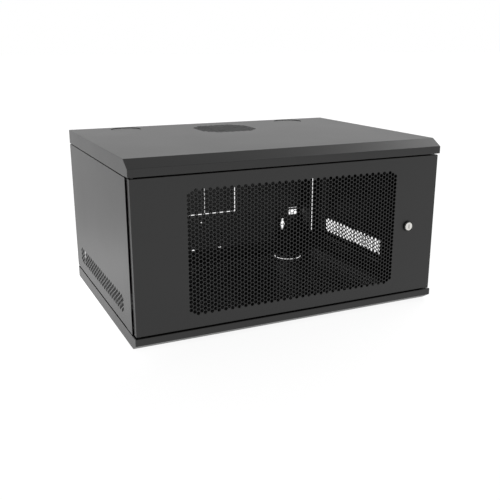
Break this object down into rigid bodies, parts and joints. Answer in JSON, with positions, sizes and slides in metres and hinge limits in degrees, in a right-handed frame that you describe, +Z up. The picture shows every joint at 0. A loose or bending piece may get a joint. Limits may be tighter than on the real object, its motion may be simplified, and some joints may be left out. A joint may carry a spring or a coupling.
{
  "type": "network server rack cabinet",
  "caption": "Wall-mount 19-inch network cabinet with a perforated hinged front door, cam lock, side vents, top fan grille and blanked cable entries.",
  "frame": {"origin": "under the middle of the whole cabinet's box, on the underside of the base", "axes": "+X to the right seen from the front, +Y towards the rear panel and the wall, +Z up"},
  "size_m": [0.6, 0.4448, 0.318],
  "materials": {
    "black_powder_paint": "fine-textured satin black powder coat",
    "frame_paint": "satin black powder coat on the inner frame",
    "zinc_plate": "bright zinc plate",
    "nickel_plate": "satin nickel plate",
    "black_lock_paint": "gloss black lock barrel"
  },
  "bodies": {
    "carcass": {"top_cover": "black_powder_paint", "base_pan": "black_powder_paint", "rear_panel": "black_powder_paint", "top_knockout_left": "black_powder_paint", "floor_knockout_left": "black_powder_paint", "rear_knockout_left": "black_powder_paint", "left_side_panel": "black_powder_paint", "front_post_left": "frame_paint", "rear_post_left": "frame_paint", "depth_bracket_lower_left": "frame_paint", "depth_bracket_upper_left": "frame_paint", "rack_rail_left": "frame_paint", "wall_plate_lower_left": "frame_paint", "wall_plate_upper_left": "frame_paint", "rail_bolt_lower_left": "zinc_plate", "rail_bolt_upper_left": "zinc_plate", "rail_nut_lower_left": "zinc_plate", "rail_nut_upper_left": "zinc_plate", "top_knockout_right": "black_powder_paint", "floor_knockout_right": "black_powder_paint", "rear_knockout_right": "black_powder_paint", "right_side_panel": "black_powder_paint", "front_post_right": "frame_paint", "rear_post_right": "frame_paint", "depth_bracket_lower_right": "frame_paint", "depth_bracket_upper_right": "frame_paint", "rack_rail_right": "frame_paint", "wall_plate_lower_right": "frame_paint", "wall_plate_upper_right": "frame_paint", "rail_bolt_lower_right": "zinc_plate", "rail_bolt_upper_right": "zinc_plate", "rail_nut_lower_right": "zinc_plate", "rail_nut_upper_right": "zinc_plate", "front_crossbar_lower": "frame_paint", "front_crossbar_upper": "frame_paint"},
    "door": {"door_panel": "black_powder_paint", "hinge_bracket_upper": "black_powder_paint", "hinge_bracket_lower": "black_powder_paint", "lock_barrel": "black_lock_paint", "lock_nut": "zinc_plate"},
    "upper_pin": {"hinge_pin_upper": "frame_paint"},
    "lower_pin": {"hinge_pin_lower": "frame_paint"},
    "lock_core": {"lock_plug": "nickel_plate", "lock_cam": "zinc_plate", "cam_screw": "zinc_plate"}
  },
  "joints": [
    {"name": "door_swing", "type": "hinge", "parent": "carcass", "child": "door", "pos_m": [-0.291, -0.213, 0.1572], "axis": [0, 0, -1], "range_deg": [0, 180]},
    {"name": "lock_turn", "type": "hinge", "parent": "door", "child": "lock_core", "pos_m": [0.2375, -0.2224, 0.1572], "axis": [0, -1, 0], "range_deg": [0, 90]},
    {"name": "upper_pin_slide", "type": "slide", "parent": "door", "child": "upper_pin", "axis": [0, 0, -1], "range_m": [0, 0.006], "stiffness_N_per_m": 300, "springref_m": -0.01},
    {"name": "lower_pin_slide", "type": "slide", "parent": "door", "child": "lower_pin", "axis": [0, 0, 1], "range_m": [0, 0.006], "stiffness_N_per_m": 300, "springref_m": -0.01}
  ]
}
